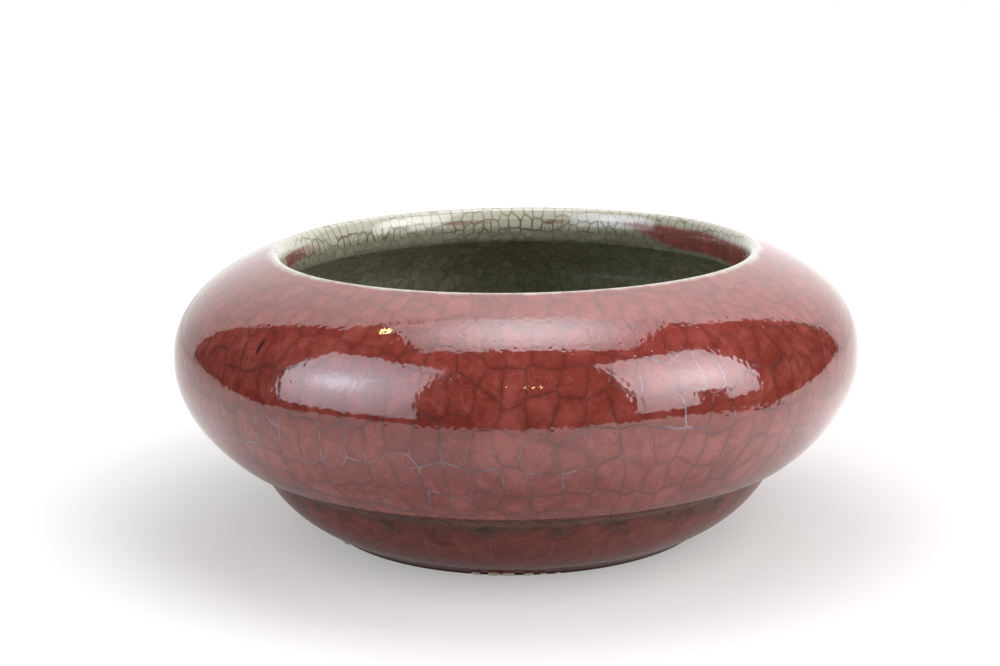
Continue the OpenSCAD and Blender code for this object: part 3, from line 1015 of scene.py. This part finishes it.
# Where the lamps stand and what those at the sides face
MIDDLE = Vector((0.0, 0.0, 0.035))
OVERHEAD = Vector((0.04, 0.12, 0.9))
LEFT_LAMP, RIGHT_LAMP = Vector((-0.772, -0.412, 0.53)), Vector((0.779, -0.397, 0.53))
bright_face("overhead_face", OVERHEAD, OVERHEAD - Vector((0, 0, 1)),
            outline=[(-0.34, -0.215), (0.34, -0.225), (0.36, 0.24), (-0.37, 0.20)],
            radiance=9.1, colour=(0.88, 0.94, 1.0), reach=0.38, edge=0.30)
bright_face("left_face", LEFT_LAMP, MIDDLE,
            outline=[(-0.345, -0.61), (0.71, -0.61), (0.29, 0.63), (-0.36, 0.50)],
            radiance=7.9, colour=(0.82, 0.88, 1.0), reach=0.75, edge=0.42, core=0.7)
# A stand hides part of the right lamp's lower edge
bright_face("right_face", RIGHT_LAMP, MIDDLE,
            outline=[(-0.575, -0.585), (-0.10, -0.575), (-0.10, -0.29), (0.10, -0.30), (0.10, -0.57),
                     (0.37, -0.54), (0.32, 0.47), (-0.24, 0.67)],
            radiance=9.75, colour=(0.97, 0.94, 1.0), reach=0.75, edge=0.40, core=0.25)
GLINT_OUTLINE = [(-0.018, -0.012), (0.018, -0.012), (0.018, 0.012), (-0.018, 0.012)]
for name, way in (("back_glint", (-0.361, 0.248, 0.899)), ("front_glint", (0.082, -0.757, 0.648))):
    bright_face(name, MIDDLE + Vector(way), MIDDLE, GLINT_OUTLINE,
                radiance=45.0, colour=(1.0, 0.72, 0.32), reach=0.05, edge=0.6)
matt_lamp("overhead_lamp", OVERHEAD, Vector(), wide=0.8, tall=0.5, radiance=2.1, colour=(1.0, 1.0, 1.0))
matt_lamp("left_lamp", LEFT_LAMP, MIDDLE, wide=0.85, tall=1.15, radiance=1.15, colour=(0.97, 0.98, 1.0))
matt_lamp("right_lamp", RIGHT_LAMP, MIDDLE, wide=0.85, tall=1.15, radiance=2.4, colour=(1.0, 0.99, 0.98))

# A room that is dark but for what the camera sees behind the pot
DARK_ROOM = 0.06
world = bpy.data.worlds.new("studio")
bpy.context.scene.world = world
world.use_nodes = True
sky = world.node_tree
sky.nodes.clear()
path = sky.nodes.new("ShaderNodeLightPath")
white = sky.nodes.new("ShaderNodeMath")
white.operation = "MAXIMUM"
white.inputs[1].default_value = DARK_ROOM
glow = sky.nodes.new("ShaderNodeBackground")
sky_out = sky.nodes.new("ShaderNodeOutputWorld")
sky.links.new(path.outputs["Is Camera Ray"], white.inputs[0])
sky.links.new(white.outputs[0], glow.inputs["Strength"])
sky.links.new(glow.outputs[0], sky_out.inputs[0])

camera_data = bpy.data.cameras.new("camera")
camera_data.sensor_width = 36.0
camera_data.lens = camera_data.sensor_width * FOCAL_PIXELS / IMAGE_WIDTH
camera_data.clip_start = 0.01
camera = bpy.data.objects.new("camera", camera_data)
bpy.context.scene.collection.objects.link(camera)
right, upward, onward = facing(CAMERA_PLACE, CAMERA_AIM)
rolled_right = math.cos(CAMERA_ROLL) * right + math.sin(CAMERA_ROLL) * upward
rolled_up = -math.sin(CAMERA_ROLL) * right + math.cos(CAMERA_ROLL) * upward
turned = Matrix((rolled_right, rolled_up, -onward)).transposed().to_4x4()
camera.matrix_world = Matrix.Translation(CAMERA_PLACE) @ turned
bpy.context.scene.camera = camera
bpy.context.scene.view_settings.view_transform = "Standard"
